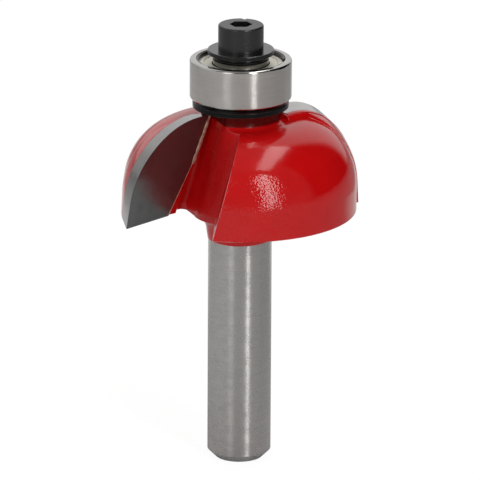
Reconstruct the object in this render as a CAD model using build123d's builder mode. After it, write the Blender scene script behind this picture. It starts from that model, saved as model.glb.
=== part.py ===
from build123d import *
from math import atan2, cos, degrees, radians, sin, sqrt, tan
import os

os.makedirs("parts", exist_ok=True)

# Router bit for cove cuts with a guide bearing on top, standing on its shank end.
# Origin at the centre of the shank's end face, +Z along the axis towards the cap screw.

# Shank and neck
shank_diameter = 8.0
shank_length = 28.9            # bare ground steel, up to the paint
shank_chamfer = 1.0
neck_diameter = 8.14           # over the paint's edge
neck_shoulder = 0.08           # height of the paint's edge
neck_taper = 0.16              # the neck widens by this much up to its fillet
neck_length = 3.2              # from the paint's edge to the head's underside
neck_fillet = 2.1

# Head, the painted steel body
form_clearance = 1.325         # the painted dome lies this far inside the cutting form
rim_rise = 0.73                # the underside rises outwards to the rim
rim_height = 3.22              # straight wall under the dome
boss_diameter = 9.8
boss_height = 1.85
boss_fillet = 0.9

# Guide bearing, 3/16 x 1/2 x 0.196 inch
bearing_bore = 4.7625
bearing_diameter = 12.7
bearing_width = 4.978
race_chamfer = 0.28
bore_chamfer = 0.15
ball_count = 7
ball_share = 0.6               # ball's diameter to the bearing's section, bore to outside
ball_play = 0.015
groove_clearance = 0.055       # groove's radius over the ball's
inner_shoulder_share = 0.3635  # shoulder's distance from the ball circle, in ball diameters
outer_shoulder_share = 0.3925
shield_ledge = 0.25            # width of the step that a shield rests on
shield_recess = 0.5            # from the race's face down to the shield
shield_thickness = 0.26
shield_gap = 0.12              # between shield and inner race
shield_dish = 0.1
shield_flange = 0.9            # width of the flat rim round the dish
ring_wire = 0.46               # section of the split ring that holds a shield
ring_groove = 0.1              # depth of the ring's groove in the race
ring_opening = 24.0            # degrees
cage_inner_share = 0.1955      # the cage's sides from the ball circle, in ball diameters
cage_outer_share = 0.214
cage_web_share = 0.4           # web under the pockets, of the room between them and the shield
cage_grip = 0.55               # height of the prongs above the balls' centres
cage_clearance = 0.06

# Stack on the spigot
spigot_clearance = 0.008
spigot_gap = 0.3               # below the upper washer, so that the screw clamps the stack
lower_washer_inset = 0.35      # inside the bearing's outside
lower_washer_thickness = 1.1
lower_washer_bevel = 0.42
washer_relief = 0.12           # below the raised middle, clear of the outer race
spacer_inset = 0.04            # inside the inner race's shoulder
spacer_thickness = 0.67
spacer_round = 0.26
upper_washer_diameter = 8.25
upper_washer_thickness = 0.55
upper_washer_round = 0.1

# Cap screw, M3 socket head
screw_diameter = 3.0
screw_length = 10.0
screw_head_diameter = 5.65
screw_head_height = 3.15
screw_head_round = 0.22
socket_across_flats = 2.5
socket_depth = 1.6
screw_hole_clearance = 0.02
screw_washer_clearance = 0.1
screw_point = 0.4
screw_hole_spare = 1.2         # tapped hole below the screw's point
screw_nick_angle = 81.5        # bearing of the nick in the head's rim, from +X
screw_nick_radius = 2.3        # the nick starts here
screw_nick_width = 0.6
screw_nick_depth = 0.45

# Cutting form and carbide tips
wing_count = 2
cove_radius = 9.525
cove_drop = 0.18               # the cove's centre below the dome's centre
straight_edge = 3.68           # straight cutting edge below the cove
rake_azimuth = -132.95         # the rake face's trace, degrees from +X
rake_offset = 5.26             # the trace's distance from the axis, at the tip's lower end
shear_angle = 15.0             # the bearing end of the edge leads
relief_angle = 11.5
tip_thickness = 2.5
tip_width = 7.39               # lower end of the tip, measured on the rake face
tip_knee_height = 6.82         # along the rake face, where the inner edge bends
tip_lower_lean = 19.7          # degrees, lean of the inner edge below the knee
tip_upper_lean = 11.1          # and above it
braze_gap = 0.1                # filler behind the tip
braze_line = 0.15              # filler beside the tip's inner edge
braze_bead = 0.4               # the thicker bead above the knee
braze_recess = 0.06            # filler stays below the ground form
straight_stations = 3          # points of the relieved form below the cove
cove_stations = 10             # and along the cove

# Land behind each tip, relieved like it
land_drop = 0.05               # below the ground form
land_start = -20.0             # bearing of its first section, from the rake face's trace
land_step = -8.0               # to the next section
land_sections = 4
land_edge_angle = 43.0         # between the land's rear edge and the rake face's trace
land_edge_offset = 2.1         # the rear edge's distance from the axis
land_root = 3.0

# Flutes
flute_skew = -4.75             # degrees, the flute leans in towards the axis as it rises
flute_seat = 6.2               # the flush strip of body beside the tip starts here
gullet_radius = 0.66
gullet_depth = 0.9             # below the rake face
gullet_lead = 1.22             # width of the slope from the seat into the gullet
gullet_floor = 0.35            # flat bottom between slope and round
gullet_lean = 22.5             # lean of the gullet's inner side
core_radius = 5.85             # floor of the flute, about the tilted flute axis
hub_radius = 3.0               # always left round the spigot's root
flute_wall_offset = 2.87
flute_wall_angle = 40.2        # between the wall and the rake face's trace

# Derived radii
guide_radius = bearing_diameter / 2
cut_radius = guide_radius + cove_radius
dome_radius = cove_radius - form_clearance
body_radius = guide_radius + dome_radius
spigot_radius = bearing_bore / 2 - spigot_clearance
pitch_radius = (bearing_bore + bearing_diameter) / 4
ball_diameter = ball_share * (bearing_diameter - bearing_bore) / 2
groove_radius = ball_diameter / 2 + groove_clearance
groove_shift = groove_clearance - ball_play
inner_shoulder_radius = pitch_radius - inner_shoulder_share * ball_diameter
outer_shoulder_radius = pitch_radius + outer_shoulder_share * ball_diameter
shield_seat_radius = outer_shoulder_radius + shield_ledge
ring_radius = shield_seat_radius + ring_groove - ring_wire / 2
dish_radius = shield_seat_radius - shield_flange
lower_washer_radius = guide_radius - lower_washer_inset

# Derived heights
underside_z = shank_length + neck_length
rim_z = underside_z + rim_rise
dome_centre_z = rim_z + rim_height
dome_top_z = dome_centre_z + dome_radius
boss_top_z = dome_top_z + boss_height
bearing_z = boss_top_z + lower_washer_thickness
bearing_top_z = bearing_z + bearing_width
bearing_mid_z = bearing_z + bearing_width / 2
upper_washer_z = bearing_top_z + spacer_thickness
screw_head_z = upper_washer_z + upper_washer_thickness
spigot_top_z = upper_washer_z - spigot_gap
screw_end_z = screw_head_z - screw_length
cove_centre_z = dome_centre_z - cove_drop
tip_bottom_z = cove_centre_z - straight_edge

# Derived directions: outward along the rake face's trace, forward in the sense of rotation
shear = radians(shear_angle)
outward = Vector(1, 0, 0).rotate(Axis.Z, rake_azimuth)
forward = outward.rotate(Axis.Z, 90)
up = Vector(0, 0, 1)
into_body = up * sin(shear) - forward * cos(shear)
rake_plane = Plane(
    origin=forward * -rake_offset + up * tip_bottom_z, x_dir=outward, z_dir=into_body
)


def form_radius(depth):
    """Radius of the cove on the plane that lies depth behind the rake face."""
    return cove_radius - depth * tan(radians(relief_angle))


def form_edge(depth, inset):
    """Points of the relieved form from its lower end to its crown, depth behind the rake face."""
    plane_z = tip_bottom_z + depth * sin(shear)
    plane_forward = -rake_offset - depth * cos(shear)
    cove = form_radius(depth) - inset
    stations = []
    for step in range(straight_stations):
        z = plane_z + (cove_centre_z - plane_z) * step / straight_stations
        stations.append((guide_radius + cove, z))
    for step in range(cove_stations + 1):
        angle = radians(90 * step / cove_stations)
        stations.append((guide_radius + cove * cos(angle), cove_centre_z + cove * sin(angle)))
    points = []
    for radius, z in stations:
        ahead = plane_forward + (z - plane_z) * tan(shear)
        points.append((sqrt(radius**2 - ahead**2), (z - plane_z) / cos(shear)))
    return points


def inner_edge(top, lower_gap, upper_gap):
    """Tip's inner edge on the rake face, from the height top down, moved inwards by the gaps."""
    foot = sqrt(cut_radius**2 - rake_offset**2) - tip_width
    knee = foot - tip_knee_height * tan(radians(tip_lower_lean))
    head = knee - (top - tip_knee_height) * tan(radians(tip_upper_lean))
    points = [(head - upper_gap, top), (knee - upper_gap, tip_knee_height)]
    if lower_gap != upper_gap:
        points.append((knee - lower_gap, tip_knee_height))
    return points + [(foot - lower_gap, 0)]


def form_face(depth, inset, lower_gap, upper_gap):
    """Face between the relieved form and the inner edge, on the plane depth behind the rake face."""
    edge = form_edge(depth, inset)
    with BuildSketch(rake_plane.offset(depth)) as face:
        with BuildLine():
            Spline(*edge)
            Polyline(edge[-1], *inner_edge(edge[-1][1], lower_gap, upper_gap), edge[0])
        make_face()
    return face.sketch


pocket_depth = tip_thickness + braze_gap

# Carbide tip: a slab on the rake plane, ground back from the cutting edge with its relief
tip_front = form_face(0, 0, 0, 0)
tip_back = form_face(tip_thickness, 0, 0, 0)
with BuildPart() as carbide_tip_1:
    loft(sections=[tip_front, tip_back], ruled=True)
carbide_tip_1.part.label = "carbide_tip_1"
export_step(carbide_tip_1.part, "parts/carbide_tip_1.step")

# Filler metal behind the tip and along its inner edge
braze_front = form_face(0, braze_recess, braze_line, braze_bead)
braze_back = form_face(pocket_depth, braze_recess, braze_line, braze_bead)
with BuildPart() as braze_layer_1:
    loft(sections=[braze_front, braze_back], ruled=True)
    add(carbide_tip_1.part, mode=Mode.SUBTRACT)
braze_layer_1.part.label = "braze_layer_1"
export_step(braze_layer_1.part, "parts/braze_layer_1.step")

# Pocket for tip and filler, open towards the flute, the rim and the crown
pocket_edge = inner_edge(body_radius, braze_line, braze_bead)
with BuildPart() as pocket:
    with BuildSketch(rake_plane):
        with BuildLine():
            Polyline(
                *pocket_edge,
                (pocket_edge[-1][0], -body_radius),
                (cut_radius, -body_radius),
                (cut_radius, body_radius),
                close=True,
            )
        make_face()
    extrude(amount=pocket_depth)



def land_point(beam, level, lift):
    """Radius and height of the relieved form along beam, at the angle lift round a centre at level."""
    centre = beam * guide_radius + up * level
    reach = beam * cos(lift) + up * sin(lift)
    fall = tan(radians(relief_angle))
    depth = (centre - rake_plane.origin).dot(into_body)
    cove = (cove_radius - land_drop - depth * fall) / (1 + reach.dot(into_body) * fall)
    return (guide_radius + cove * cos(lift), level + cove * sin(lift))


def land_face(bearing):
    """Section of the land in the radial plane at this bearing from the rake face's trace."""
    beam = outward.rotate(Axis.Z, bearing)
    edge = []
    for step in range(straight_stations):
        level = rim_z + (cove_centre_z - rim_z) * step / straight_stations
        edge.append(land_point(beam, level, 0))
    for step in range(cove_stations + 1):
        edge.append(land_point(beam, cove_centre_z, radians(90 * step / cove_stations)))
    with BuildSketch(Plane(origin=(0, 0, 0), x_dir=beam, z_dir=beam.cross(up))) as face:
        with BuildLine():
            Spline(*edge)
            Polyline(edge[-1], (land_root, edge[-1][1]), (land_root, rim_z), edge[0])
        make_face()
    return face.sketch


# Land: raised strip behind the tip that falls away to the rear
rear_normal = outward.rotate(Axis.Z, 180 + land_edge_angle)
with BuildPart() as land:
    loft(sections=[land_face(land_start + land_step * number) for number in range(land_sections)])
    split(bisect_by=rake_plane.offset(tip_thickness), keep=Keep.TOP)
    split(bisect_by=Plane(origin=rear_normal * -land_edge_offset, z_dir=rear_normal), keep=Keep.BOTTOM)

# Flute: one section swept straight along the sheared direction
flute_rise = boss_top_z - shank_length
flute_reach = 2 * body_radius
flute_step = forward * tan(shear) + outward * tan(radians(flute_skew)) + up
flute_plane = Plane(
    origin=up * tip_bottom_z + flute_step * (shank_length - tip_bottom_z), x_dir=outward, z_dir=up
)
wall_angle = radians(flute_wall_angle)
wall_foot_run = sqrt(core_radius**2 - flute_wall_offset**2)
wall_foot = (
    wall_foot_run * cos(wall_angle) + flute_wall_offset * sin(wall_angle),
    wall_foot_run * sin(wall_angle) - flute_wall_offset * cos(wall_angle),
)
wall_end = (
    wall_foot[0] + flute_reach * cos(wall_angle),
    wall_foot[1] + flute_reach * sin(wall_angle),
)
gullet_bottom = -rake_offset - gullet_depth
gullet_round_start = flute_seat - gullet_lead - gullet_floor
gullet_centre = Vector(gullet_round_start, gullet_bottom + gullet_radius)
gullet_side = Vector(sin(radians(gullet_lean)), cos(radians(gullet_lean)))
gullet_end = gullet_centre + Vector(-gullet_side.Y, gullet_side.X) * gullet_radius
side_middle = -gullet_end.dot(gullet_side)
side_run = side_middle - sqrt(side_middle**2 - gullet_end.length**2 + core_radius**2)
core_start = gullet_end + gullet_side * side_run
core_start_angle = degrees(atan2(core_start.Y, core_start.X))
core_turn = degrees(atan2(wall_foot[1], wall_foot[0])) - core_start_angle
with BuildPart() as flute:
    with BuildSketch(flute_plane):
        with BuildLine():
            Polyline(
                (flute_reach, -rake_offset),
                (flute_seat, -rake_offset),
                (flute_seat - gullet_lead, gullet_bottom),
                (gullet_round_start, gullet_bottom),
            )
            CenterArc(gullet_centre, gullet_radius, 270, -90 - gullet_lean)
            Line(gullet_end, core_start)
            CenterArc((0, 0), core_radius, core_start_angle, core_turn)
            Polyline(wall_foot, wall_end, (flute_reach, -rake_offset))
        make_face()
    extrude(amount=flute_rise * flute_step.length, dir=flute_step)
    with BuildSketch(Plane.XY.offset(shank_length)):
        Circle(hub_radius)
    extrude(amount=flute_rise, mode=Mode.SUBTRACT)

# Shank, neck and head in one piece of steel
neck_root = neck_diameter / 2 + neck_taper
with BuildPart() as cutter_body:
    with BuildSketch(Plane.XZ):
        with BuildLine():
            Polyline(
                (0, 0),
                (shank_diameter / 2 - shank_chamfer, 0),
                (shank_diameter / 2, shank_chamfer),
                (shank_diameter / 2, shank_length),
                (neck_diameter / 2, shank_length + neck_shoulder),
                (neck_root, underside_z - neck_fillet),
            )
            RadiusArc(
                (neck_root, underside_z - neck_fillet), (neck_root + neck_fillet, underside_z), neck_fillet
            )
            Polyline(
                (neck_root + neck_fillet, underside_z),
                (body_radius, rim_z),
                (body_radius, dome_centre_z),
            )
            CenterArc((guide_radius, dome_centre_z), dome_radius, 0, 90)
            Line((guide_radius, dome_top_z), (boss_diameter / 2 + boss_fillet, dome_top_z))
            RadiusArc(
                (boss_diameter / 2 + boss_fillet, dome_top_z),
                (boss_diameter / 2, dome_top_z + boss_fillet),
                boss_fillet,
            )
            Polyline(
                (boss_diameter / 2, dome_top_z + boss_fillet),
                (boss_diameter / 2, boss_top_z),
                (spigot_radius, boss_top_z),
                (spigot_radius, spigot_top_z),
                (0, spigot_top_z),
                (0, 0),
            )
        make_face()
    revolve(axis=Axis.Z)
    with PolarLocations(0, wing_count):
        add(land.part)
    with PolarLocations(0, wing_count):
        add(flute.part, mode=Mode.SUBTRACT)
        add(pocket.part, mode=Mode.SUBTRACT)
    with Locations((0, 0, spigot_top_z)):
        Hole(
            radius=screw_diameter / 2 + screw_hole_clearance,
            depth=spigot_top_z - screw_end_z + screw_hole_spare,
        )
cutter_body.part.label = "cutter_body"
export_step(cutter_body.part, "parts/cutter_body.step")

# Second tip and its filler, half a turn on
with BuildPart() as carbide_tip_2:
    with PolarLocations(0, 1, start_angle=360 / wing_count):
        add(carbide_tip_1.part)
carbide_tip_2.part.label = "carbide_tip_2"
export_step(carbide_tip_2.part, "parts/carbide_tip_2.step")

with BuildPart() as braze_layer_2:
    with PolarLocations(0, 1, start_angle=360 / wing_count):
        add(braze_layer_1.part)
braze_layer_2.part.label = "braze_layer_2"
export_step(braze_layer_2.part, "parts/braze_layer_2.step")

# Washer under the bearing: only its raised middle touches the inner race
with BuildPart() as lower_washer:
    with BuildSketch(Plane.XZ):
        with BuildLine():
            Polyline(
                (bearing_bore / 2, boss_top_z),
                (lower_washer_radius, boss_top_z),
                (lower_washer_radius, bearing_z - washer_relief - lower_washer_bevel),
                (lower_washer_radius - lower_washer_bevel, bearing_z - washer_relief),
                (inner_shoulder_radius, bearing_z - washer_relief),
                (inner_shoulder_radius, bearing_z),
                (bearing_bore / 2, bearing_z),
                close=True,
            )
        make_face()
    revolve(axis=Axis.Z)
lower_washer.part.label = "lower_washer"
export_step(lower_washer.part, "parts/lower_washer.step")

# Bearing: inner race with its ball groove
bearing_plane = Plane.XY.offset(bearing_mid_z)
with BuildPart() as inner_race:
    with BuildSketch(Plane.XY.offset(bearing_z)):
        Circle(inner_shoulder_radius)
        Circle(bearing_bore / 2, mode=Mode.SUBTRACT)
    extrude(amount=bearing_width)
    bore_edges = inner_race.edges().filter_by(GeomType.CIRCLE).group_by(SortBy.RADIUS)[0]
    chamfer(bore_edges, length=bore_chamfer)
    with BuildSketch(Plane.XZ):
        with Locations((pitch_radius + groove_shift, bearing_mid_z)):
            Circle(groove_radius)
    revolve(axis=Axis.Z, mode=Mode.SUBTRACT)
inner_race.part.label = "inner_race"
export_step(inner_race.part, "parts/inner_race.step")

# Bearing: outer race with ball groove, shield seats and the grooves of the split rings
shield_depth = shield_recess + shield_thickness
ring_drop = shield_recess - ring_wire / 2
with BuildPart() as outer_race:
    with BuildSketch(Plane.XY.offset(bearing_z)):
        Circle(guide_radius)
        Circle(outer_shoulder_radius, mode=Mode.SUBTRACT)
    extrude(amount=bearing_width)
    rim_edges = outer_race.edges().filter_by(GeomType.CIRCLE).group_by(SortBy.RADIUS)[-1]
    fillet(rim_edges, radius=race_chamfer)
    with BuildSketch(Plane.XY.offset(bearing_z), Plane.XY.offset(bearing_top_z - shield_depth)):
        Circle(shield_seat_radius)
    extrude(amount=shield_depth, mode=Mode.SUBTRACT)
    with BuildSketch(Plane.XZ):
        with Locations((pitch_radius - groove_shift, bearing_mid_z)):
            Circle(groove_radius)
        with Locations(
            (shield_seat_radius, bearing_z + ring_drop),
            (shield_seat_radius, bearing_top_z - ring_drop),
        ):
            Rectangle(2 * ring_groove, ring_wire)
    revolve(axis=Axis.Z, mode=Mode.SUBTRACT)
outer_race.part.label = "outer_race"
export_step(outer_race.part, "parts/outer_race.step")

# Balls
for number in range(ball_count):
    with BuildPart() as ball:
        with Locations(bearing_plane):
            with PolarLocations(pitch_radius, 1, start_angle=number * 360 / ball_count):
                Sphere(ball_diameter / 2)
    ball.part.label = f"ball_{number + 1}"
    export_step(ball.part, f"parts/ball_{number + 1}.step")

# Crown cage: a ring with a pocket for each ball, open at its top
pocket_radius = ball_diameter / 2 + cage_clearance
cage_base = cage_web_share * (bearing_width / 2 - shield_depth - shield_dish - pocket_radius)
cage_height = pocket_radius + cage_base + cage_grip
with BuildPart() as ball_cage:
    with BuildSketch(Plane.XY.offset(bearing_mid_z - pocket_radius - cage_base)):
        Circle(pitch_radius + cage_outer_share * ball_diameter)
        Circle(pitch_radius - cage_inner_share * ball_diameter, mode=Mode.SUBTRACT)
    extrude(amount=cage_height)
    with Locations(bearing_plane):
        with PolarLocations(pitch_radius, ball_count):
            Sphere(pocket_radius, mode=Mode.SUBTRACT)
ball_cage.part.label = "ball_cage"
export_step(ball_cage.part, "parts/ball_cage.step")

# Shields and the split rings that hold them, the lower ones mirrored in the bearing's middle plane
shield_top = bearing_top_z - shield_recess
with BuildPart() as upper_shield:
    with BuildSketch(Plane.XZ):
        with BuildLine():
            Polyline(
                (inner_shoulder_radius + shield_gap, shield_top - shield_dish),
                (dish_radius - shield_dish, shield_top - shield_dish),
                (dish_radius, shield_top),
                (shield_seat_radius, shield_top),
                (shield_seat_radius, shield_top - shield_thickness),
                (dish_radius, shield_top - shield_thickness),
                (dish_radius - shield_dish, shield_top - shield_thickness - shield_dish),
                (inner_shoulder_radius + shield_gap, shield_top - shield_thickness - shield_dish),
                close=True,
            )
        make_face()
    revolve(axis=Axis.Z)
upper_shield.part.label = "upper_shield"
export_step(upper_shield.part, "parts/upper_shield.step")

with BuildPart() as upper_shield_ring:
    with BuildSketch(Plane.XZ):
        with Locations((ring_radius, bearing_top_z - ring_drop)):
            Circle(ring_wire / 2)
    revolve(axis=Axis.Z, revolution_arc=360 - ring_opening)
upper_shield_ring.part.label = "upper_shield_ring"
export_step(upper_shield_ring.part, "parts/upper_shield_ring.step")

with BuildPart() as lower_shield:
    mirror(upper_shield.part, about=bearing_plane)
lower_shield.part.label = "lower_shield"
export_step(lower_shield.part, "parts/lower_shield.step")

with BuildPart() as lower_shield_ring:
    mirror(upper_shield_ring.part, about=bearing_plane)
lower_shield_ring.part.label = "lower_shield_ring"
export_step(lower_shield_ring.part, "parts/lower_shield_ring.step")

# Spacer ring on the inner race
with BuildPart() as spacer_ring:
    with BuildSketch(Plane.XY.offset(bearing_top_z)):
        Circle(inner_shoulder_radius - spacer_inset)
        Circle(bearing_bore / 2, mode=Mode.SUBTRACT)
    extrude(amount=spacer_thickness)
    outer_edges = spacer_ring.edges().filter_by(GeomType.CIRCLE).group_by(SortBy.RADIUS)[-1]
    fillet(outer_edges, radius=spacer_round)
spacer_ring.part.label = "spacer_ring"
export_step(spacer_ring.part, "parts/spacer_ring.step")

# Washer under the screw's head
with BuildPart() as upper_washer:
    with BuildSketch(Plane.XY.offset(upper_washer_z)):
        Circle(upper_washer_diameter / 2)
        Circle(screw_diameter / 2 + screw_washer_clearance, mode=Mode.SUBTRACT)
    extrude(amount=upper_washer_thickness)
    outer_edges = upper_washer.edges().filter_by(GeomType.CIRCLE).group_by(SortBy.RADIUS)[-1]
    fillet(outer_edges, radius=upper_washer_round)
upper_washer.part.label = "upper_washer"
export_step(upper_washer.part, "parts/upper_washer.step")

# Cap screw that clamps the stack
screw_top_z = screw_head_z + screw_head_height
nick_way = Vector(1, 0, 0).rotate(Axis.Z, screw_nick_angle)
nick_plane = Plane(
    origin=nick_way * screw_nick_radius + up * screw_top_z, x_dir=up.cross(nick_way), z_dir=nick_way
)
with BuildPart() as cap_screw:
    with BuildSketch(Plane.XY.offset(screw_end_z)):
        Circle(screw_diameter / 2)
    extrude(amount=screw_length)
    chamfer(cap_screw.edges().group_by(Axis.Z)[0], length=screw_point)
    with BuildSketch(Plane.XY.offset(screw_head_z)):
        Circle(screw_head_diameter / 2)
    extrude(amount=screw_head_height)
    fillet(cap_screw.edges().group_by(Axis.Z)[-1], radius=screw_head_round)
    with BuildSketch(Plane.XY.offset(screw_top_z)):
        RegularPolygon(socket_across_flats / 2, side_count=6, major_radius=False)
    extrude(amount=-socket_depth, mode=Mode.SUBTRACT)
    with BuildSketch(nick_plane):
        with BuildLine():
            Polyline(
                (-screw_nick_width / 2, 0),
                (0, -screw_nick_depth),
                (screw_nick_width / 2, 0),
                close=True,
            )
        make_face()
    extrude(amount=screw_head_diameter, mode=Mode.SUBTRACT)
cap_screw.part.label = "cap_screw"
export_step(cap_screw.part, "parts/cap_screw.step")
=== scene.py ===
"""Cove router bit with a guide bearing: its finishes, small surface detail and the studio."""

import logging
import math
from dataclasses import dataclass, field
from enum import Enum

import bmesh
import bpy
from mathutils import Matrix, Vector, noise


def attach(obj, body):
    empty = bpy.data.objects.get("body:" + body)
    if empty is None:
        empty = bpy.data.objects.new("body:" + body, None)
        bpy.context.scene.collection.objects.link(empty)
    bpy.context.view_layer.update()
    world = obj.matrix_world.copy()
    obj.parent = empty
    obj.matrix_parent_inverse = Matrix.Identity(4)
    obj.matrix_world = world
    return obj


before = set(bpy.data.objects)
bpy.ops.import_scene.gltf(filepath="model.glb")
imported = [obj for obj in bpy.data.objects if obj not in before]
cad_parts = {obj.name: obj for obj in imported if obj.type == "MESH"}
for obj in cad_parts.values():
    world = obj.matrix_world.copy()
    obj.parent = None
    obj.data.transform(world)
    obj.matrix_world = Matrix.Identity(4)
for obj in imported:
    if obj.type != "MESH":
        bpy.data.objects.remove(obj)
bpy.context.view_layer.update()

MM = 0.001
HALF_TURN = 180.0
CUTTER = "cutter"
BEVEL_SAMPLES = 6
NOISE_MIDDLE = 0.5
NOISE_SPAN = (0.3, 0.7)
WIDE_SPAN = (0.2, 0.8)
LOG = logging.getLogger("router_bit")

Colour = tuple[float, float, float, float]
Socket = bpy.types.NodeSocket


class Lay(Enum):
    """Which way the grinding marks of a metal run: how fast they change along X, Y and Z."""

    ROUND = (0.03, 0.03, 1.0)
    FLAT = (0.05, 1.0, 0.05)
    NONE = (1.0, 1.0, 1.0)


class Blend(Enum):
    """What a Mix node mixes: its data type, its two inputs and its output."""

    COLOURS = ("RGBA", 6, 7, 2)
    VALUES = ("FLOAT", 2, 3, 0)


class Nodes:
    """A node tree under construction, with short calls for the nodes that the finishes share."""

    def __init__(self, tree: bpy.types.NodeTree) -> None:
        """Empties the tree.

        Args:
            tree: The material's or the world's node tree.
        """
        self.tree = tree
        tree.nodes.clear()

    def add(self, kind: str, inputs: dict | None = None, **settings: object) -> bpy.types.Node:
        """Adds a node.

        Args:
            kind: The node's type, without its ShaderNode prefix.
            inputs: What each input socket gets, a value or another node's output.
            settings: The node's own properties.

        Returns:
            The new node.
        """
        node = self.tree.nodes.new("ShaderNode" + kind)
        for name, value in settings.items():
            setattr(node, name, value)
        for name, value in (inputs or {}).items():
            self.feed(node.inputs[name], value)
        return node

    def feed(self, socket: Socket, value: object) -> None:
        """Links an output to the socket, or sets the socket's own value."""
        if isinstance(value, bpy.types.NodeSocket):
            self.tree.links.new(value, socket)
        else:
            socket.default_value = value

    def math(self, operation: str, first: object, second: object = 0.0) -> Socket:
        """Returns the output of a Math node."""
        return self.add("Math", {0: first, 1: second}, operation=operation).outputs[0]

    def times(self, first: object, second: object) -> Socket:
        """Returns the product of two values."""
        return self.math("MULTIPLY", first, second)

    def dot(self, first: object, second: object) -> Socket:
        """Returns the dot product of two vectors."""
        node = self.add("VectorMath", {0: first, 1: second}, operation="DOT_PRODUCT")
        return node.outputs["Value"]

    def ramp(
        self, value: object, low: float, high: float, start: float = 0.0, stop: float = 1.0
    ) -> Socket:
        """Returns a value mapped smoothly and clamped.

        Args:
            value: What is mapped.
            low: The value that gives start.
            high: The value that gives stop.
            start: Result at low.
            stop: Result at high.
        """
        sockets = {
            "Value": value, "From Min": low, "From Max": high, "To Min": start, "To Max": stop,
        }
        return self.add("MapRange", sockets, interpolation_type="SMOOTHSTEP").outputs[0]

    def place(self) -> Socket:
        """Returns the Object coordinates of the surface point."""
        return self.add("TexCoord").outputs["Object"]

    def split(self, vector: object) -> bpy.types.NodeOutputs:
        """Returns a vector's X, Y and Z outputs."""
        return self.add("SeparateXYZ", {0: vector}).outputs

    def noise(
        self, waves: float, octaves: float = 2.0, stretch: tuple[float, float, float] = (1, 1, 1)
    ) -> Socket:
        """Returns a noise value on Object coordinates.

        Args:
            waves: Waves per metre.
            octaves: How many finer layers are added.
            stretch: How much faster the pattern runs along X, Y and Z.
        """
        turned = self.add("Mapping", {"Vector": self.place(), "Scale": stretch}).outputs[0]
        sockets = {"Vector": turned, "Scale": waves, "Detail": octaves}
        return self.add("TexNoise", sockets).outputs["Fac"]

    def waver(self, waves: float, width: float) -> Socket:
        """Returns a slow wander about zero.

        Args:
            waves: Waves per metre.
            width: Full width of the wander.
        """
        return self.times(self.math("SUBTRACT", self.noise(waves), NOISE_MIDDLE), width)

    def mix(
        self, factor: object, first: object, second: object, kind: Blend = Blend.COLOURS
    ) -> Socket:
        """Returns the mix of two colours or of two values."""
        data_type, lower, upper, result = kind.value
        sockets = {0: factor, lower: first, upper: second}
        return self.add("Mix", sockets, data_type=data_type).outputs[result]

    def cover(self, factor: object, under: Socket, over: Socket) -> Socket:
        """Returns one shader laid over another."""
        return self.add("MixShader", {0: factor, 1: under, 2: over}).outputs[0]

    def bump(self, height: object, strength: object, depth: float, **more: object) -> Socket:
        """Returns a normal roughened by a height.

        Args:
            height: The relief, from 0 to 1.
            strength: Its share that shows.
            depth: Its real depth.
            more: Further sockets of the Bump node, such as the normal it starts from.
        """
        sockets = {"Height": height, "Strength": strength, "Distance": depth, **more}
        return self.add("Bump", sockets).outputs[0]

    def eased(self, radius: float) -> tuple[Socket, Socket]:
        """Returns a normal with its edges eased, and how far it agrees with the real one."""
        soft = self.add("Bevel", {"Radius": radius}, samples=BEVEL_SAMPLES).outputs[0]
        return soft, self.dot(soft, self.add("NewGeometry").outputs["Normal"])

    def seen(self) -> Socket:
        """Returns 1 for the camera's own rays and for rays through glass, else 0."""
        path = self.add("LightPath").outputs
        return self.math("MAXIMUM", path["Is Camera Ray"], path["Is Transmission Ray"])


def colour(red: float, green: float, blue: float) -> Colour:
    """Returns an opaque linear colour."""
    return (red, green, blue, 1.0)


def grey(level: float) -> Colour:
    """Returns an opaque linear grey."""
    return colour(level, level, level)


@dataclass(frozen=True)
class RakeFace:
    """Plane of a tip's rake face."""

    wing: int
    azimuth: float = -132.95
    offset: float = 5.26 * MM
    shear: float = 15.0
    foot: float = 32.19 * MM

    @property
    def outward(self) -> Vector:
        """Direction along the face's trace, away from the tool's axis."""
        turn = math.radians(self.azimuth + HALF_TURN * (self.wing - 1))
        return Vector((math.cos(turn), math.sin(turn), 0))

    @property
    def forward(self) -> Vector:
        """Direction in which the wing cuts."""
        return Vector((0, 0, 1)).cross(self.outward)

    @property
    def inward(self) -> Vector:
        """Direction square to the face, into the body."""
        tilt = math.radians(self.shear)
        return Vector((0, 0, math.sin(tilt))) - self.forward * math.cos(tilt)

    @property
    def rising(self) -> Vector:
        """Direction up the face."""
        return self.inward.cross(self.outward)

    @property
    def origin(self) -> Vector:
        """Lower end of the face, in line with the axis."""
        return Vector((0, 0, self.foot)) - self.forward * self.offset

    def place(self, along: float, height: float) -> Vector:
        """Returns a place on the face.

        Args:
            along: Distance from the origin along the trace.
            height: Distance up the face.
        """
        return self.origin + self.outward * along + self.rising * height

    def depth(self, nodes: Nodes) -> Socket:
        """Returns how far a surface point lies behind the face."""
        reach = nodes.dot(nodes.place(), tuple(self.inward))
        return nodes.math("SUBTRACT", reach, self.origin.dot(self.inward))


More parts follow.
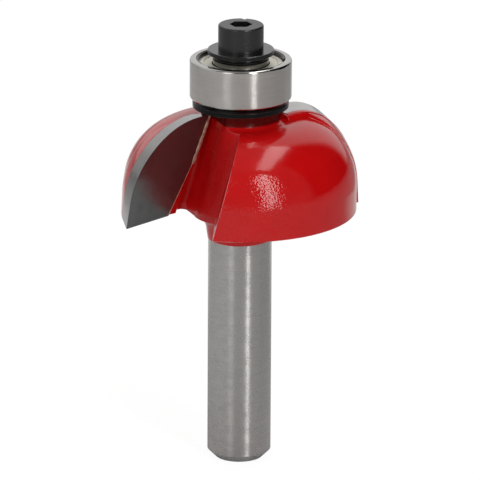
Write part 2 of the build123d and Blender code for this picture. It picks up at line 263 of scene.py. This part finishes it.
@dataclass(frozen=True)
class GroundMetal:
    """Bare ground metal with fine marks."""

    name: str
    light: Colour
    dark: Colour
    roughness: float
    lay: Lay = Lay.NONE
    anisotropy: float = 0.0
    marks: float = 0.02
    metallic: float = 1.0
    mark_waves: float = 9000.0
    mark_depth: float = 0.02 * MM
    cloud_waves: float = 900.0
    octaves: float = 3.0
    uneven: float = 0.12
    across_lay: float = 0.25

    def shader(self, nodes: Nodes) -> Socket:
        """Returns the finish as a shader output."""
        grain = nodes.noise(self.mark_waves, self.octaves, self.lay.value)
        cloud = nodes.noise(self.cloud_waves, self.octaves)
        tone = nodes.math("ADD", nodes.times(grain, 0.5), nodes.times(cloud, 0.5))
        smooth, rough = self.roughness * (1 - self.uneven), self.roughness * (1 + self.uneven)
        inputs = {
            "Base Color": nodes.mix(nodes.ramp(tone, *NOISE_SPAN), self.dark, self.light),
            "Metallic": self.metallic,
            "Roughness": nodes.ramp(cloud, *WIDE_SPAN, smooth, rough),
            "Normal": nodes.bump(grain, self.marks, self.mark_depth),
            "Anisotropic": self.anisotropy,
        }
        if self.lay is Lay.ROUND:
            inputs["Tangent"] = nodes.add("Tangent", direction_type="RADIAL", axis="Z").outputs[0]
            inputs["Anisotropic Rotation"] = self.across_lay
        return nodes.add("BsdfPrincipled", inputs).outputs[0]


@dataclass(frozen=True)
class GlossPaint:
    """Sprayed gloss enamel, with an orange peel low down and a painted highlight, a pale colour
    along its edges.
    """

    deep: Colour = colour(0.60, 0.004, 0.005)
    bright: Colour = colour(0.70, 0.006, 0.007)
    pale: Colour = colour(0.95, 0.58, 0.58)
    cloud_waves: float = 400.0
    peel_waves: float = 4700.0
    peel_octaves: float = 0.4
    peel_height: float = 0.032 * MM
    peel_near: float = 5.8 * MM
    peel_far: float = 8.6 * MM
    far_share: float = 0.25
    peel_foot: float = 40.3 * MM
    peel_top: float = 41.3 * MM
    top_share: float = 0.03
    edge_round: float = 0.14 * MM
    edge_turn: tuple[float, float] = (0.985, 0.9)
    edge_patches: tuple[float, float] = (0.36, 0.54)
    edge_pale: float = 0.9
    edge_top: float = 43.2 * MM
    edge_fade: float = 1.0 * MM
    edge_above: float = 0.15
    roughness: float = 0.13
    polish: float = 0.6
    gloss: float = 0.5
    index: float = 1.5

    def shader(self, nodes: Nodes) -> Socket:
        """Returns the finish as a shader output."""
        cloud = nodes.noise(self.cloud_waves)
        place = nodes.split(nodes.place())
        height = place["Z"]
        soft, turn = nodes.eased(self.edge_round)
        return nodes.add("BsdfPrincipled", {
            # Painted highlight: the base colour turns pale along the edges.
            "Base Color": nodes.mix(
                self.edge_highlight(nodes, turn, cloud, height),
                nodes.mix(cloud, self.deep, self.bright),
                self.pale,
            ),
            "Roughness": nodes.ramp(
                height, self.peel_top, self.peel_foot, self.roughness, self.roughness * self.polish
            ),
            "Specular IOR Level": self.gloss,
            "IOR": self.index,
            "Normal": self.peel(nodes, place["X"], height, soft),
        }).outputs[0]

    def peel(self, nodes: Nodes, side: Socket, height: Socket, soft: Socket) -> Socket:
        """Returns the normal with the orange peel.

        Args:
            nodes: The material's node tree.
            side: X of the surface point.
            height: Z of the surface point.
            soft: The normal with its edges eased.
        """
        wrinkle = nodes.noise(self.peel_waves, self.peel_octaves)
        thick = nodes.ramp(height, self.peel_top, self.peel_foot, self.top_share)
        aside = nodes.math("ABSOLUTE", side)
        near = nodes.ramp(aside, self.peel_far, self.peel_near, self.far_share)
        return nodes.bump(wrinkle, nodes.times(near, thick), self.peel_height, Normal=soft)

    def edge_highlight(self, nodes: Nodes, turn: Socket, cloud: Socket, height: Socket) -> Socket:
        """Returns the painted highlight: how pale the paint is made along its edges, in patches
        and fainter at the top.

        Args:
            nodes: The material's node tree.
            turn: How far the eased normal agrees with the real one.
            cloud: A slow noise.
            height: Z of the surface point.
        """
        # Painted highlight along the edges, in patches, fainter high on the dome.
        patch = nodes.ramp(cloud, *self.edge_patches, 0.0, self.edge_pale)
        below = nodes.ramp(height, self.edge_top, self.edge_top - self.edge_fade, self.edge_above)
        return nodes.times(nodes.ramp(turn, *self.edge_turn), nodes.times(patch, below))


@dataclass(frozen=True)
class RaceSteel:
    """Bearing race: brushed running surface, polished faces and chamfers."""

    name: str
    brushed: GroundMetal
    polished: GroundMetal
    side_rise: float = 0.2
    face_rise: float = 0.4

    def shader(self, nodes: Nodes) -> Socket:
        """Returns the finish as a shader output."""
        rise = nodes.split(nodes.add("NewGeometry").outputs["Normal"])["Z"]
        level = nodes.ramp(nodes.math("ABSOLUTE", rise), self.side_rise, self.face_rise)
        return nodes.cover(level, self.brushed.shader(nodes), self.polished.shader(nodes))


@dataclass(frozen=True)
class RecessShadePaint:
    """Painted shade: dark, dull paint in the recess under the washer, where its shade falls."""

    deep: Colour = colour(0.10, 0.003, 0.002)
    bright: Colour = colour(0.13, 0.004, 0.003)
    streak_waves: float = 1500.0
    streak_span: tuple[float, float] = (0.3, 0.8)
    octaves: float = 3.0
    roughness: tuple[float, float] = (0.2, 0.32)
    gloss: float = 0.06

    def shader(self, nodes: Nodes) -> Socket:
        """Returns the finish as a shader output."""
        streak = nodes.noise(self.streak_waves, self.octaves)
        return nodes.add("BsdfPrincipled", {
            "Base Color": nodes.mix(
                nodes.ramp(streak, *self.streak_span), self.deep, self.bright
            ),
            "Roughness": nodes.ramp(streak, *NOISE_SPAN, *self.roughness),
            "Specular IOR Level": self.gloss,
        }).outputs[0]


@dataclass(frozen=True)
class BlackOxide:
    """Blackened steel: black sides, faces turned up or down with a painted sheen, and a painted
    highlight, a little lighter, along its edges.
    """

    name: str
    side_index: float
    face_sheen_index: float
    roughness: float
    grain: float
    film: Colour = colour(0.007, 0.0068, 0.007)
    edge_highlight: Colour = colour(0.06, 0.06, 0.062)
    uneven: tuple[float, float] = (0.85, 1.2)
    grain_waves: float = 6000.0
    octaves: float = 4.0
    grain_depth: float = 0.004 * MM
    highlight_patch_span: tuple[float, float] = (0.35, 0.6)
    edge_round: float = 0.13 * MM
    edge_turn: tuple[float, float] = (0.999, 0.93)
    upper_rise: tuple[float, float] = (0.6, 0.9)
    lower_rise: tuple[float, float] = (-0.3, -0.6)

    def shader(self, nodes: Nodes) -> Socket:
        """Returns the finish as a shader output."""
        soft, turn = nodes.eased(self.edge_round)
        grain = nodes.noise(self.grain_waves, self.octaves)
        patch = nodes.ramp(grain, *self.highlight_patch_span)
        # Painted highlight: a lighter colour along the edges, in patches.
        edge_highlight_share = nodes.times(nodes.ramp(turn, *self.edge_turn), patch)
        smooth, rough = (self.roughness * share for share in self.uneven)
        coat = {
            "Base Color": nodes.mix(edge_highlight_share, self.film, self.edge_highlight),
            "Roughness": nodes.ramp(grain, *NOISE_SPAN, smooth, rough),
            "Normal": nodes.bump(grain, self.grain, self.grain_depth, Normal=soft),
        }
        # Painted sheen: two copies of the coat, the faces turned up or down given a higher IOR so
        # they reflect more than the sides.
        sides, faces = (
            nodes.add("BsdfPrincipled", {**coat, "IOR": index}).outputs[0]
            for index in (self.side_index, self.face_sheen_index)
        )
        rise = nodes.split(soft)["Z"]
        upper, lower = nodes.ramp(rise, *self.upper_rise), nodes.ramp(rise, *self.lower_rise)
        return nodes.cover(nodes.math("MAXIMUM", upper, lower), sides, faces)


@dataclass(frozen=True)
class MottledSkin:
    """A skin of two mottled tones with soft lumps, which the finishes below give their sizes."""

    name: str
    deep: Colour
    bright: Colour
    metallic: float
    roughness: tuple[float, float]
    lump_waves: float
    lumps: float
    lump_depth: float
    octaves: float = 3.0

    def shader(self, nodes: Nodes) -> Socket:
        """Returns the finish as a shader output."""
        lump = nodes.noise(self.lump_waves, self.octaves)
        return nodes.add("BsdfPrincipled", {
            "Base Color": nodes.mix(nodes.ramp(lump, *NOISE_SPAN), self.deep, self.bright),
            "Metallic": self.metallic,
            "Roughness": nodes.ramp(lump, *WIDE_SPAN, *self.roughness),
            "Normal": nodes.bump(lump, self.lumps, self.lump_depth),
        }).outputs[0]


@dataclass(frozen=True)
class Braze(MottledSkin):
    """Frozen brazing filler, pale and beige with a lumpy skin."""

    name: str = "braze_filler"
    deep: Colour = colour(0.58, 0.40, 0.28)
    bright: Colour = colour(0.80, 0.66, 0.50)
    metallic: float = 0.5
    roughness: tuple[float, float] = (0.35, 0.5)
    lump_waves: float = 2500.0
    lumps: float = 0.6
    lump_depth: float = 0.03 * MM


@dataclass(frozen=True)
class ShieldCream(MottledSkin):
    """Cream sealing disc with a soft, slightly mottled surface."""

    name: str = "cream_shield"
    deep: Colour = colour(0.82, 0.78, 0.66)
    bright: Colour = colour(0.92, 0.90, 0.81)
    metallic: float = 0.85
    roughness: tuple[float, float] = (0.42, 0.55)
    lump_waves: float = 1800.0
    lumps: float = 0.3
    lump_depth: float = 0.02 * MM


@dataclass(frozen=True)
class FluxDrop:
    """Dark, glassy flux left on the carbide by the brazing."""

    name: str = "flux_drop"
    deep: Colour = colour(0.012, 0.006, 0.004)
    bright: Colour = colour(0.05, 0.03, 0.024)
    roughness: float = 0.22
    tone_waves: float = 3000.0

    def shader(self, nodes: Nodes) -> Socket:
        """Returns the finish as a shader output."""
        return nodes.add("BsdfPrincipled", {
            "Base Color": nodes.mix(nodes.noise(self.tone_waves), self.deep, self.bright),
            "Roughness": self.roughness,
        }).outputs[0]


@dataclass(frozen=True)
class TipCarbide:
    """Ground carbide, darker on the rake face, with the body's paint lapping over its rear."""

    name: str
    face: RakeFace
    rake: GroundMetal
    relief: GroundMetal
    paint_depth: float
    paint_soft: float = 0.24 * MM
    edge_waves: float = 600.0
    edge_waver: float = 0.2 * MM
    face_skin: float = 0.02 * MM

    def shader(self, nodes: Nodes) -> Socket:
        """Returns the finish as a shader output."""
        depth = self.face.depth(nodes)
        behind = nodes.math("GREATER_THAN", depth, self.face_skin)
        metal = nodes.cover(behind, self.rake.shader(nodes), self.relief.shader(nodes))
        reach = nodes.math("ADD", depth, nodes.waver(self.edge_waves, self.edge_waver))
        start, stop = self.paint_depth - self.paint_soft, self.paint_depth + self.paint_soft
        return nodes.cover(nodes.ramp(reach, start, stop), metal, GlossPaint().shader(nodes))


@dataclass(frozen=True)
class PaintedBraze:
    """Brazing filler, painted over where it lies behind the tip."""

    name: str
    face: RakeFace
    paint_depth: float
    paint_soft: float = 0.1 * MM

    def shader(self, nodes: Nodes) -> Socket:
        """Returns the finish as a shader output."""
        stop = self.paint_depth + self.paint_soft
        lapped = nodes.ramp(self.face.depth(nodes), self.paint_depth, stop)
        return nodes.cover(lapped, Braze().shader(nodes), GlossPaint().shader(nodes))


@dataclass(frozen=True)
class PaintedShank:
    """The tool body: gloss paint on head and neck, bare ground steel below the paint's edge, and
    painted shade under the washer.
    """

    steel: GroundMetal
    paint_edge: float
    name: str = "painted_body_steel"
    paint: GlossPaint = GlossPaint()
    flute_paint: GlossPaint = GlossPaint(roughness=0.36, gloss=0.22, edge_pale=0.15)
    edge_waves: float = 700.0
    edge_waver: float = 0.1 * MM
    shade_foot: float = 44.64 * MM
    shade_radius: float = 5.95 * MM
    soft: float = 0.14 * MM
    dome_rise: float = 36.05 * MM
    dome_middle: float = 6.35 * MM
    dome_round: float = 8.2 * MM
    flute_depth: float = 0.3 * MM
    flute_foot: float = 32.95 * MM

    def shader(self, nodes: Nodes) -> Socket:
        """Returns the finish as a shader output."""
        place = nodes.split(nodes.place())
        height = place["Z"]
        squares = [
            nodes.math("POWER", nodes.math("ABSOLUTE", place[side]), 2.0) for side in "XY"
        ]
        radius = nodes.math("SQRT", nodes.math("ADD", *squares))
        sprayed = nodes.cover(
            self.in_flute(nodes, height, radius),
            self.paint.shader(nodes),
            self.flute_paint.shader(nodes),
        )
        # Painted shade: darker, duller paint in the recess under the washer.
        painted_shade = self.in_painted_shade(nodes, height, radius)
        coats = nodes.cover(painted_shade, sprayed, RecessShadePaint().shader(nodes))
        edge = nodes.math("ADD", height, nodes.waver(self.edge_waves, self.edge_waver))
        painted = nodes.math("GREATER_THAN", edge, self.paint_edge)
        return nodes.cover(painted, self.steel.shader(nodes), coats)

    def in_painted_shade(self, nodes: Nodes, height: Socket, radius: Socket) -> Socket:
        """Returns where shade is painted: the recess under the washer."""
        above = nodes.ramp(height, self.shade_foot - self.soft, self.shade_foot + self.soft)
        rim = self.shade_radius
        return nodes.times(above, nodes.ramp(radius, rim + self.soft, rim - self.soft))

    def in_flute(self, nodes: Nodes, height: Socket, radius: Socket) -> Socket:
        """Returns where the surface lies below the dome's own skin."""
        over = nodes.math("MAXIMUM", nodes.math("SUBTRACT", height, self.dome_rise), 0.0)
        aside = nodes.math("SUBTRACT", radius, self.dome_middle)
        legs = [nodes.times(leg, leg) for leg in (over, aside)]
        reach = nodes.math("SQRT", nodes.math("ADD", *legs))
        sunk = self.dome_round - self.flute_depth
        cut = nodes.ramp(reach, sunk + self.soft, sunk - self.soft)
        return nodes.times(cut, nodes.math("GREATER_THAN", height, self.flute_foot))


def material(finish: object) -> bpy.types.Material:
    """Builds the material of a finish.

    Args:
        finish: One of the finish classes, with a name and a shader method.

    Returns:
        The material, with its node tree made.
    """
    made = bpy.data.materials.new(finish.name)
    made.use_nodes = True
    nodes = Nodes(made.node_tree)
    nodes.add("OutputMaterial", {"Surface": finish.shader(nodes)})
    return made


def dress(node: str, finish: bpy.types.Material) -> None:
    """Gives a CAD node its finish in every material slot and reports it."""
    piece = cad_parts[node]
    for slot in piece.material_slots:
        slot.material = finish
    LOG.info("%s wears %s", node, finish.name)


@dataclass
class BrazeBead:
    """Raised filler along a tip's inner edge above its bend, with two flux drops at its top."""

    face: RakeFace
    lower: tuple[float, float] = (4.95 * MM, 6.85 * MM)
    upper: tuple[float, float] = (3.76 * MM, 12.75 * MM)
    radius: float = 0.29 * MM
    flatness: float = 0.4
    lumpiness: float = 0.3
    lump_waves: float = 1600.0
    lump_shift: float = 1000.0
    end_power: int = 14
    end_share: float = 0.02
    sides: int = 16
    cuts: int = 48
    drops: tuple[tuple[float, float, float], ...] = (
        (4.35 * MM, 13.45 * MM, 0.15 * MM), (4.2 * MM, 13.12 * MM, 0.12 * MM),
    )
    drop_subdivisions: int = 3

    def seat(self, place: Vector, along: Vector) -> Matrix:
        """Returns the matrix that lays a shape on the rake face.

        Args:
            place: Where the shape's centre goes.
            along: Where its Z axis points, along the face.
        """
        out = -self.face.inward
        axes = Matrix((out.cross(along), out, along)).transposed().to_4x4()
        return Matrix.Translation(place) @ axes @ Matrix.Diagonal((1, self.flatness, 1, 1))

    def lump(self, made: bmesh.types.BMesh, half: float) -> None:
        """Makes the surface uneven and rounds the ends.

        Args:
            made: The shape, about its own centre.
            half: Half of its length.
        """
        shift = self.face.origin * self.lump_shift
        for vertex in made.verts:
            swell = 1 + self.lumpiness * noise.noise(vertex.co * self.lump_waves + shift)
            end = 1 - abs(vertex.co.z / half) ** self.end_power
            width = swell * math.sqrt(max(self.end_share, end))
            vertex.co.x *= width
            vertex.co.y *= width

    def piece(self, name: str, made: bmesh.types.BMesh, finish: bpy.types.Material) -> None:
        """Turns a shape into a piece that rides with the cutter."""
        bmesh.ops.recalc_face_normals(made, faces=made.faces)
        mesh = bpy.data.meshes.new(name)
        made.to_mesh(mesh)
        made.free()
        mesh.shade_smooth()
        mesh.materials.append(finish)
        piece = bpy.data.objects.new(name, mesh)
        bpy.context.scene.collection.objects.link(piece)
        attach(piece, CUTTER)
        LOG.info("%s lies on tip %d", name, self.face.wing)

    def build(self, filler: bpy.types.Material, flux: bpy.types.Material) -> None:
        """Makes the bead and the drops.

        Args:
            filler: The bead's material.
            flux: The drops' material.
        """
        start, stop = self.face.place(*self.lower), self.face.place(*self.upper)
        length = (stop - start).length
        made = bmesh.new()
        bmesh.ops.create_cone(
            made,
            cap_ends=True,
            segments=self.sides,
            radius1=self.radius,
            radius2=self.radius,
            depth=length,
        )
        long = [
            edge for edge in made.edges
            if abs(edge.verts[0].co.z - edge.verts[1].co.z) > length / 2
        ]
        bmesh.ops.subdivide_edges(made, edges=long, cuts=self.cuts)
        self.lump(made, length / 2)
        made.transform(self.seat((start + stop) / 2, (stop - start).normalized()))
        self.piece(f"braze_bead_{self.face.wing}", made, filler)
        for number, (along, height, radius) in enumerate(self.drops, 1):
            made = bmesh.new()
            bmesh.ops.create_icosphere(
                made, subdivisions=self.drop_subdivisions, radius=radius
            )
            made.transform(self.seat(self.face.place(along, height), self.face.rising))
            self.piece(f"braze_drop_{self.face.wing}_{number}", made, flux)


@dataclass
class CutterHead:
    """Shank, neck and head, with the two brazed tips."""

    paint_edge: float = 28.93 * MM
    steel: GroundMetal = GroundMetal(
        "shank_steel", colour(0.64, 0.62, 0.60), colour(0.54, 0.53, 0.52), 0.28,
        lay=Lay.ROUND, anisotropy=0.9,
    )
    rake: GroundMetal = GroundMetal(
        "rake_carbide", colour(0.24, 0.255, 0.255), colour(0.19, 0.205, 0.205), 0.24,
        lay=Lay.FLAT, metallic=0.9,
    )
    # Painted light and shade: the same ground carbide in two tones, darker on the front tip's
    # relief, lighter on the rear tip's.
    lit_and_shaded_reliefs: tuple[GroundMetal, GroundMetal] = (
        GroundMetal(
            "front_relief_shaded", colour(0.37, 0.36, 0.355), colour(0.30, 0.295, 0.29), 0.2,
            lay=Lay.FLAT,
        ),
        GroundMetal(
            "rear_relief_lit", colour(0.62, 0.60, 0.59), colour(0.52, 0.51, 0.50), 0.2,
            lay=Lay.FLAT,
        ),
    )
    paint_depths: tuple[float, float] = (2.4 * MM, 2.05 * MM)
    filler_paint_depths: tuple[float, float] = (2.2 * MM, 1.2 * MM)

    def build(self) -> None:
        """Dresses the body, the tips and the filler behind them."""
        dress("cutter_body", material(PaintedShank(self.steel, self.paint_edge)))
        filler, flux = material(Braze()), material(FluxDrop())
        wings = zip(self.lit_and_shaded_reliefs, self.paint_depths, self.filler_paint_depths)
        for wing, (relief, edge, seam) in enumerate(wings, 1):
            face = RakeFace(wing)
            tip = TipCarbide(f"carbide_{wing}", face, self.rake, relief, edge)
            dress(f"carbide_tip_{wing}", material(tip))
            layer = PaintedBraze(f"braze_seam_{wing}", face, seam)
            dress(f"braze_layer_{wing}", material(layer))
            BrazeBead(face).build(filler, flux)


@dataclass
class GuideBearing:
    """Ball bearing that runs along the edge of the work."""

    balls: int = 7
    race: GroundMetal = GroundMetal(
        "race_steel", colour(0.66, 0.63, 0.60), colour(0.57, 0.54, 0.515), 0.24,
        lay=Lay.ROUND, anisotropy=0.9, marks=0.008,
    )
    polish: GroundMetal = GroundMetal(
        "race_polish", colour(0.62, 0.60, 0.58), colour(0.54, 0.52, 0.50), 0.12, marks=0.005
    )
    # Painted shade: dark copies of the race steel for the inner race, shaded under the washers.
    shaded_shoulder: GroundMetal = GroundMetal(
        "race_shoulder", colour(0.28, 0.27, 0.26), colour(0.22, 0.21, 0.20), 0.2
    )
    shaded_inner_face: GroundMetal = GroundMetal(
        "shaded_inner_face", colour(0.26, 0.25, 0.24), colour(0.20, 0.19, 0.185), 0.12, marks=0.005
    )
    ball: GroundMetal = GroundMetal("ball_steel", grey(0.75), grey(0.7), 0.08)
    wire: GroundMetal = GroundMetal("ring_wire", grey(0.09), grey(0.05), 0.25)
    cage: GroundMetal = GroundMetal(
        "cage_brass", colour(0.7, 0.5, 0.24), colour(0.55, 0.38, 0.18), 0.3
    )

    def build(self) -> None:
        """Dresses the races, shields, rings, balls and cage."""
        outer = RaceSteel("outer_race_steel", self.race, self.polish)
        # Painted shade: the inner race wears the dark copies of the race steel.
        inner = RaceSteel("inner_race_steel", self.shaded_shoulder, self.shaded_inner_face)
        dress("outer_race", material(outer))
        dress("inner_race", material(inner))
        shield = material(ShieldCream())
        wire = material(self.wire)
        for side in ("upper", "lower"):
            dress(f"{side}_shield", shield)
            dress(f"{side}_shield_ring", wire)
        ball = material(self.ball)
        for number in range(1, self.balls + 1):
            dress(f"ball_{number}", ball)
        dress("ball_cage", material(self.cage))


@dataclass
class ClampStack:
    """Washers, spacer ring and the cap screw that clamps them."""

    washer: BlackOxide = BlackOxide(
        "washer_black", side_index=1.42, face_sheen_index=2.3, roughness=0.18, grain=0.1
    )
    # Painted shade: the lower washer is a darker, less reflective copy of the washer black.
    foot: BlackOxide = BlackOxide(
        "lower_washer_black_shaded", side_index=1.25, face_sheen_index=2.0, roughness=0.18, grain=0.1,
        film=grey(0.004),
    )
    screw: BlackOxide = BlackOxide(
        "screw_black", side_index=1.62, face_sheen_index=1.8, roughness=0.3, grain=0.2
    )

    def build(self) -> None:
        """Dresses the washers, the ring and the screw."""
        washer = material(self.washer)
        for node in ("spacer_ring", "upper_washer"):
            dress(node, washer)
        dress("lower_washer", material(self.foot))
        dress("cap_screw", material(self.screw))


@dataclass(frozen=True)
class Wall:
    """A part of the studio's surroundings, between bearings from +Y towards +X, in degrees."""

    start: float
    stop: float
    low: float
    high: float
    strength: float
    soft: float

    def glow(self, nodes: Nodes, bearing: Socket, elevation: Socket) -> Socket:
        """Returns the wall's brightness in a direction.

        Args:
            nodes: The world's node tree.
            bearing: The direction's bearing, in degrees.
            elevation: Its height above the horizon, in degrees.
        """
        away = nodes.math("SUBTRACT", bearing, (self.start + self.stop) / 2)
        limits = {0: away, 1: HALF_TURN, 2: -HALF_TURN}
        turn = nodes.add("Math", limits, operation="WRAP").outputs[0]
        lift = nodes.math("SUBTRACT", elevation, (self.low + self.high) / 2)
        across = self.band(nodes, turn, (self.stop - self.start) / 2)
        upright = self.band(nodes, lift, (self.high - self.low) / 2)
        return nodes.times(nodes.times(across, upright), self.strength)

    def band(self, nodes: Nodes, angle: Socket, half: float) -> Socket:
        """Returns 1 where an angle is within half a width of zero, with soft edges."""
        away = nodes.math("ABSOLUTE", angle)
        return nodes.ramp(away, half + self.soft, half - self.soft)


def lamp(name: str, size: tuple[float, float], radiance: float, seat: Matrix) -> None:
    """Makes a rectangular lamp.

    Args:
        name: The lamp's name.
        size: Its width and length.
        radiance: Its brightness, whatever its size.
        seat: Its place and turn.
    """
    light = bpy.data.lights.new(name, "AREA")
    light.shape = "RECTANGLE"
    light.size, light.size_y = size
    light.energy = radiance * math.pi * light.size * light.size_y
    holder = bpy.data.objects.new(name, light)
    holder.matrix_world = seat
    bpy.context.scene.collection.objects.link(holder)
    LOG.info("%s lights the tool", name)


@dataclass(frozen=True)
class Softbox:
    """A rectangular lamp, placed by bearing and elevation and turned to the tool."""

    name: str
    bearing: float
    elevation: float
    width: float
    height: float
    radiance: float
    distance: float = 0.6

    def build(self, target: Vector) -> None:
        """Makes the lamp, its sides given as angles seen from the target."""
        turn, lift = math.radians(self.bearing), math.radians(self.elevation)
        level = math.cos(lift)
        away = Vector((math.sin(turn) * level, math.cos(turn) * level, math.sin(lift)))
        facing = away.to_track_quat("Z", "Y").to_matrix().to_4x4()
        size = tuple(
            2 * self.distance * math.tan(math.radians(angle) / 2)
            for angle in (self.width, self.height)
        )
        seat = Matrix.Translation(target + away * self.distance) @ facing
        lamp(self.name, size, self.radiance, seat)


@dataclass(frozen=True)
class CeilingStrip:
    """A long lamp overhead, level and parallel to the Y axis."""

    height: float = 0.6
    target: float = 42.0 * MM
    width_share: float = 0.23
    length_share: float = 0.97
    aside_share: float = 0.355
    back_share: float = 0.06
    radiance: float = 3.3

    def build(self) -> None:
        """Makes the lamp, its sides and offsets given as shares of its height."""
        size = (self.width_share * self.height, self.length_share * self.height)
        aside, back = self.aside_share * self.height, self.back_share * self.height
        seat = Matrix.Translation((aside, back, self.target + self.height))
        lamp("ceiling_strip", size, self.radiance, seat)


@dataclass(frozen=True)
class PaleFloor:
    """The floor: white to the camera with a faint shadow, pale to everything else.

    Reflections and light see it with painted shade, darker towards +X, and a painted glow behind
    the tool, though no lamp is there.
    """

    size: float = 4.0
    shadow: Colour = grey(0.15)
    white: float = 0.92
    left: Colour = grey(0.76)
    right: Colour = grey(0.55)
    grade: float = 0.12
    painted_back_glow: float = 0.36
    back: tuple[float, float] = (0.05, 0.08)
    back_half: tuple[float, float] = (0.078, 0.055)
    back_reach: tuple[float, float] = (0.13, 0.118)

    def build(self) -> None:
        """Makes the floor and its material."""
        mesh = bpy.data.meshes.new("floor")
        made = bmesh.new()
        bmesh.ops.create_grid(made, x_segments=1, y_segments=1, size=self.size)
        made.to_mesh(mesh)
        made.free()
        floor = bpy.data.objects.new("floor", mesh)
        bpy.context.scene.collection.objects.link(floor)
        pale = bpy.data.materials.new("pale_floor")
        pale.use_nodes = True
        mesh.materials.append(pale)
        nodes = Nodes(pale.node_tree)
        shadow = nodes.add("BsdfDiffuse", {"Color": self.shadow}).outputs[0]
        glow = nodes.add("Emission", {"Strength": self.white}).outputs[0]
        shown = nodes.add("AddShader", {0: shadow, 1: glow}).outputs[0]
        surface = nodes.cover(nodes.seen(), self.card(nodes), shown)
        nodes.add("OutputMaterial", {"Surface": surface})

    def card(self, nodes: Nodes) -> Socket:
        """Returns the floor as light and reflections see it, with its painted shade and painted
        glow.
        """
        place = nodes.place()
        side = nodes.split(place)
        # Painted shade: the floor darker towards +X.
        painted_side_shade = nodes.mix(
            nodes.ramp(side["X"], -self.grade, self.grade), self.left, self.right
        )
        # Painted light: a glowing patch of floor behind the tool, though no lamp is there.
        behind = nodes.ramp(side["Y"], *self.back, 0.0, self.painted_back_glow)
        between = nodes.ramp(nodes.math("ABSOLUTE", side["X"]), *self.back_half)
        reach = nodes.add("VectorMath", {0: place}, operation="LENGTH").outputs["Value"]
        shape = nodes.math("MAXIMUM", between, nodes.ramp(reach, *self.back_reach))
        painted_glow = nodes.add("Emission", {"Strength": nodes.times(behind, shape)}).outputs[0]
        matt = nodes.add("BsdfDiffuse", {"Color": painted_side_shade}).outputs[0]
        return nodes.add("AddShader", {0: matt, 1: painted_glow}).outputs[0]


@dataclass
class Studio:
    """Camera, pale floor, surroundings and softboxes."""

    camera_place: Vector = field(default_factory=lambda: Vector((0, -666.49, 243.99)) * MM)
    camera_aim: Vector = field(default_factory=lambda: Vector((0.01, 0, 28.478)) * MM)
    camera_roll: float = 0.288
    lens: float = 419.475
    far_limit: float = 20.0
    lamp_aim: float = 38.0 * MM
    white: float = 1.0
    walls: tuple[Wall, ...] = (
        Wall(-36, 36, -5, 62, 0.75, 6),
        Wall(-90, -36, -5, 36, 0.48, 6),
        Wall(-90, -36, 36, 62, 0.72, 6),
        Wall(-152, -90, -5, 36, 0.62, 9),
        Wall(-152, -90, 36, 62, 0.2, 9),
        Wall(104, 208, -5, 62, 0.16, 4),
        Wall(104, 208, -8, 10, 0.08, 8),
        Wall(-180, 180, 62, 125, 0.25, 3),
    )
    lamps: tuple[Softbox, ...] = (
        Softbox("key_softbox", 150, 25.5, 10.5, 53, 6.6),
        Softbox("fill_softbox", -150, 25, 18, 50, 1.2),
    )

    def build(self) -> None:
        """Makes the whole studio."""
        for softbox in self.lamps:
            softbox.build(Vector((0, 0, self.lamp_aim)))
        CeilingStrip().build()
        self.surroundings()
        PaleFloor().build()
        self.camera()

    def surroundings(self) -> None:
        """Paints the world: white to the camera, walls of different brightness to light.

        Reflections see the walls and not the white, because the photograph's own
        reflections show them.
        """
        world = bpy.data.worlds.new("studio")
        world.use_nodes = True
        bpy.context.scene.world = world
        nodes = Nodes(world.node_tree)
        way = nodes.split(nodes.add("TexCoord").outputs["Generated"])
        bearing = nodes.math("DEGREES", nodes.math("ARCTAN2", way["X"], way["Y"]))
        elevation = nodes.math("DEGREES", nodes.math("ARCSINE", way["Z"]))
        total = 0.0
        for wall in self.walls:
            total = nodes.math("ADD", wall.glow(nodes, bearing, elevation), total)
        strength = nodes.mix(nodes.seen(), total, self.white, Blend.VALUES)
        back = nodes.add("Background", {"Color": grey(1.0), "Strength": strength})
        nodes.add("OutputWorld", {"Surface": back.outputs[0]})

    def camera(self) -> None:
        """Makes the camera with the photograph's view."""
        lens = bpy.data.cameras.new("camera")
        lens.lens = self.lens
        lens.clip_end = self.far_limit
        camera = bpy.data.objects.new("camera", lens)
        view = (self.camera_aim - self.camera_place).to_track_quat("-Z", "Y")
        seat = Matrix.Translation(self.camera_place) @ view.to_matrix().to_4x4()
        roll = Matrix.Rotation(math.radians(self.camera_roll), 4, "Z")
        camera.matrix_world = seat @ roll
        bpy.context.scene.collection.objects.link(camera)
        bpy.context.scene.camera = camera


def main() -> None:
    """Builds the studio and the tool's sub-assemblies, in order."""
    logging.basicConfig(level=logging.INFO, format="%(name)s: %(message)s")
    bpy.context.scene.view_settings.view_transform = "Standard"
    Studio().build()
    CutterHead().build()
    GuideBearing().build()
    ClampStack().build()


if __name__ == "__main__":
    main()
